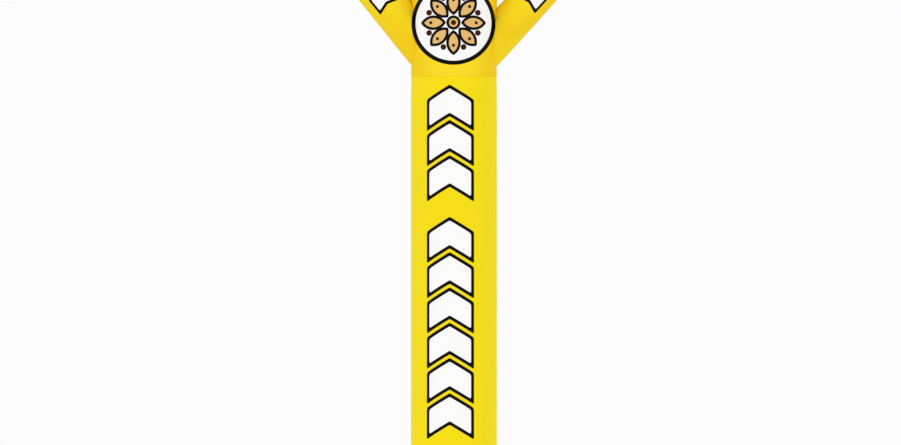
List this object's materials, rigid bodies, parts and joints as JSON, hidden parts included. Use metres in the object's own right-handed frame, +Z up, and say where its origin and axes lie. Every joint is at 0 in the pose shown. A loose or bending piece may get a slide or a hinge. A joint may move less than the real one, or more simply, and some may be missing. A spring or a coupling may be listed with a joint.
{
  "type": "inflatable air dancer",
  "caption": "Tall round fabric tube with two slanting raised arms, blown up by air from below and open at the head and the arm ends.",
  "frame": {"origin": "centre of the base hem, on the ground", "axes": "+Z up along the tube, -Y towards the printed front, +X towards the arm on the viewer's right"},
  "size_m": [2.9395, 0.4524, 6],
  "materials": {
    "trunk_cloth": "coated ripstop nylon, lemon yellow, satin",
    "chest_cloth": "coated ripstop nylon, warm yellow, satin",
    "arm_cloth": "coated ripstop nylon, yellow, satin"
  },
  "bodies": {
    "root": {"lower_tube": "trunk_cloth", "upper_tube": "chest_cloth", "arm_left": "arm_cloth", "arm_right": "arm_cloth"}
  },
  "joints": []
}
